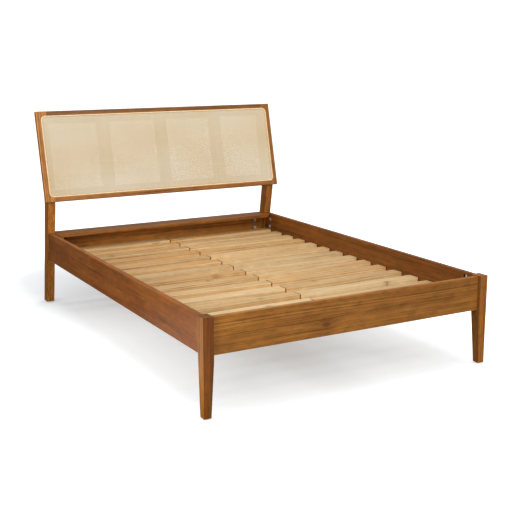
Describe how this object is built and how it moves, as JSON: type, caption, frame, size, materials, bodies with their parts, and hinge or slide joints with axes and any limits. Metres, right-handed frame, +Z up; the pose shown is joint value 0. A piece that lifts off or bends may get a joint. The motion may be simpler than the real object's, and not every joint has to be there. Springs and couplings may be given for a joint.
{
  "type": "bed frame",
  "caption": "Wooden bed frame with tapered front legs, bent rear legs carrying a leaning cane headboard, a cap board at the head end and a slatted base.",
  "frame": {"origin": "on the floor, under the middle of the whole width and length", "axes": "+X to the right seen from the foot end, +Y from the foot end to the headboard, +Z up"},
  "size_m": [1.504, 2.1585, 1.1116],
  "materials": {
    "stained_wood": "solid wood, walnut-brown stain, satin lacquer, open grain",
    "pine": "planed pine, unfinished, small knots",
    "cane": "fine woven natural cane webbing",
    "reed": "split reed spline, natural",
    "zinc_steel": "zinc-plated steel",
    "webbing": "woven polyester tape",
    "felt": "pressed felt",
    "glide_plastic": "moulded plastic with a steel stud"
  },
  "bodies": {
    "bed": {"front_leg_left": "stained_wood", "front_leg_right": "stained_wood", "rear_leg_left": "stained_wood", "rear_leg_right": "stained_wood", "side_rail_left": "stained_wood", "side_rail_right": "stained_wood", "foot_rail": "stained_wood", "head_rail": "stained_wood", "head_cap": "stained_wood", "cleat_left": "pine", "cleat_right": "pine", "centre_beam": "pine", "beam_hangers": "zinc_steel", "centre_leg": "stained_wood", "slat_tapes": "webbing", "headboard_stile_left": "stained_wood", "headboard_stile_right": "stained_wood", "headboard_top_rail": "stained_wood", "headboard_bottom_rail": "stained_wood", "headboard_bar_left": "stained_wood", "headboard_bar_centre": "stained_wood", "headboard_bar_right": "stained_wood", "cane_panel": "cane", "cane_spline": "reed", "half_moon_washers": "zinc_steel", "joint_bolts": "zinc_steel", "headboard_bolts": "zinc_steel", "wood_screws": "zinc_steel", "floor_pads": "felt", "slat_left_01": "pine", "slat_left_02": "pine", "slat_left_03": "pine", "slat_left_04": "pine", "slat_left_05": "pine", "slat_left_06": "pine", "slat_left_07": "pine", "slat_left_08": "pine", "slat_left_09": "pine", "slat_left_10": "pine", "slat_left_11": "pine", "slat_left_12": "pine", "slat_left_13": "pine", "slat_left_14": "pine", "slat_left_15": "pine", "slat_right_01": "pine", "slat_right_02": "pine", "slat_right_03": "pine", "slat_right_04": "pine", "slat_right_05": "pine", "slat_right_06": "pine", "slat_right_07": "pine", "slat_right_08": "pine", "slat_right_09": "pine", "slat_right_10": "pine", "slat_right_11": "pine", "slat_right_12": "pine", "slat_right_13": "pine", "slat_right_14": "pine", "slat_right_15": "pine"},
    "glide": {"centre_glide": "glide_plastic"}
  },
  "joints": [
    {"name": "centre_glide_height", "type": "slide", "parent": "bed", "child": "glide", "axis": [0, 0, 1], "range_m": [0, 0.012]}
  ]
}
